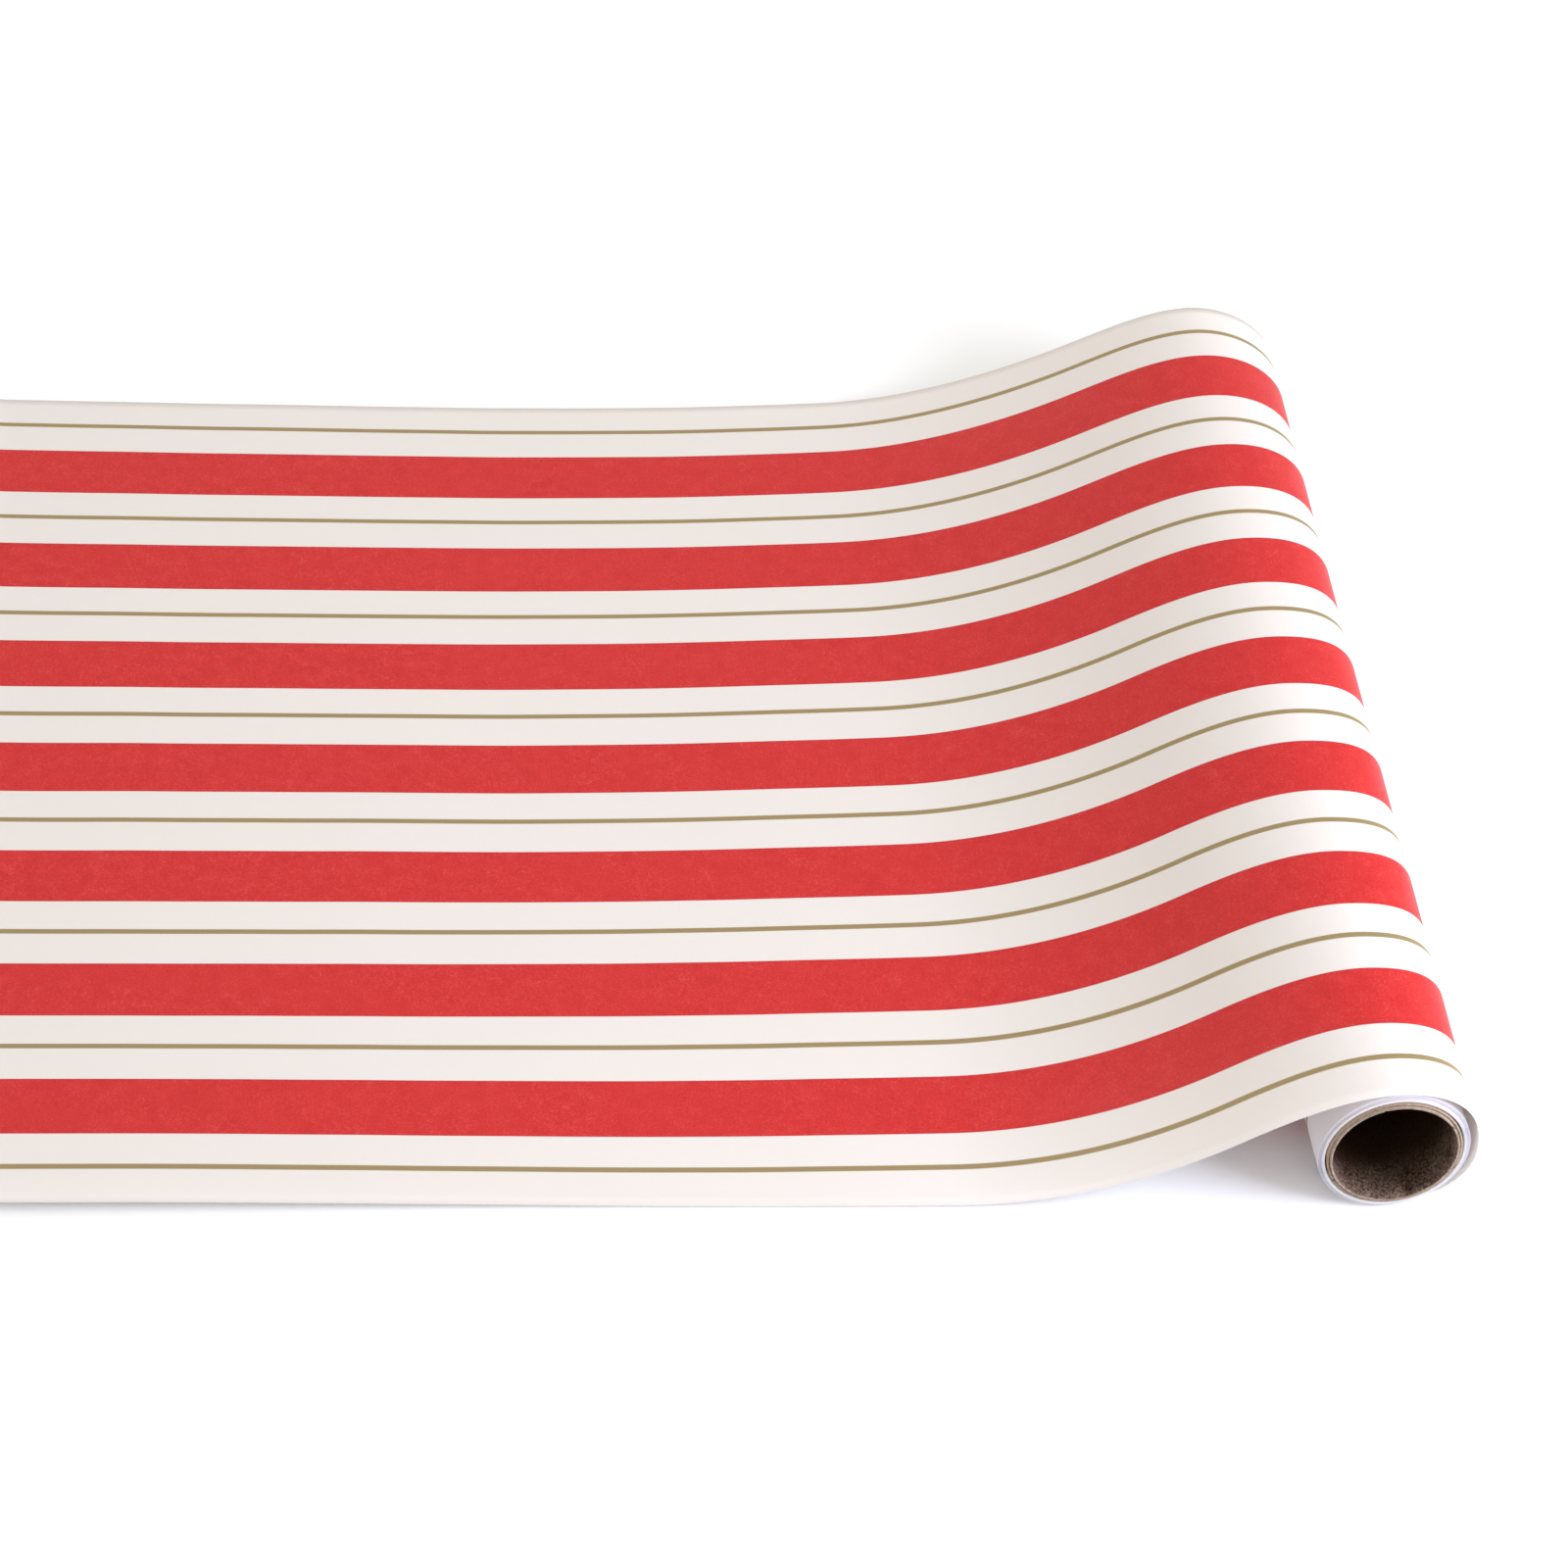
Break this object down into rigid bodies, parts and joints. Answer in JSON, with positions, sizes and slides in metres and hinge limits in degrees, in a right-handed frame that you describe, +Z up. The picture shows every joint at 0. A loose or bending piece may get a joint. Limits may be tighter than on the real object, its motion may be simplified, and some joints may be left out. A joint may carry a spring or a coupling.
{
  "type": "wrapping paper roll",
  "caption": "Striped gift wrap wound on a spiral cardboard core, with a length pulled off the top of the roll and lying flat, as for wrapping a present.",
  "frame": {"origin": "on the table, under the middle of the whole object", "axes": "+Z up, the roll's axis along Y, the pulled-out sheet running towards -X"},
  "size_m": [0.62, 0.516, 0.0651],
  "materials": {
    "chipboard": "matt grey-brown chipboard, fibrous, with a spiral butt seam",
    "chipboard_liner": "matt beige chipboard, cut end paler",
    "clear_tape": "satin clear adhesive tape",
    "wound_paper": "edges of many close wraps, white paper, printed side outwards",
    "printed_paper": "satin cream paper with lengthwise red bands and thin gold lines between them, plain white back"
  },
  "bodies": {
    "web": {"pulled_sheet": "printed_paper", "outer_lap": "printed_paper"},
    "roll": {"core_inner_ply": "chipboard", "core_outer_ply": "chipboard_liner", "starter_tape": "clear_tape", "wound_paper": "wound_paper"}
  },
  "joints": [
    {"name": "roll_spin", "type": "hinge", "parent": "web", "child": "roll", "pos_m": [0.262, 0, 0.0301], "axis": [0, 1, 0], "continuous": true}
  ]
}
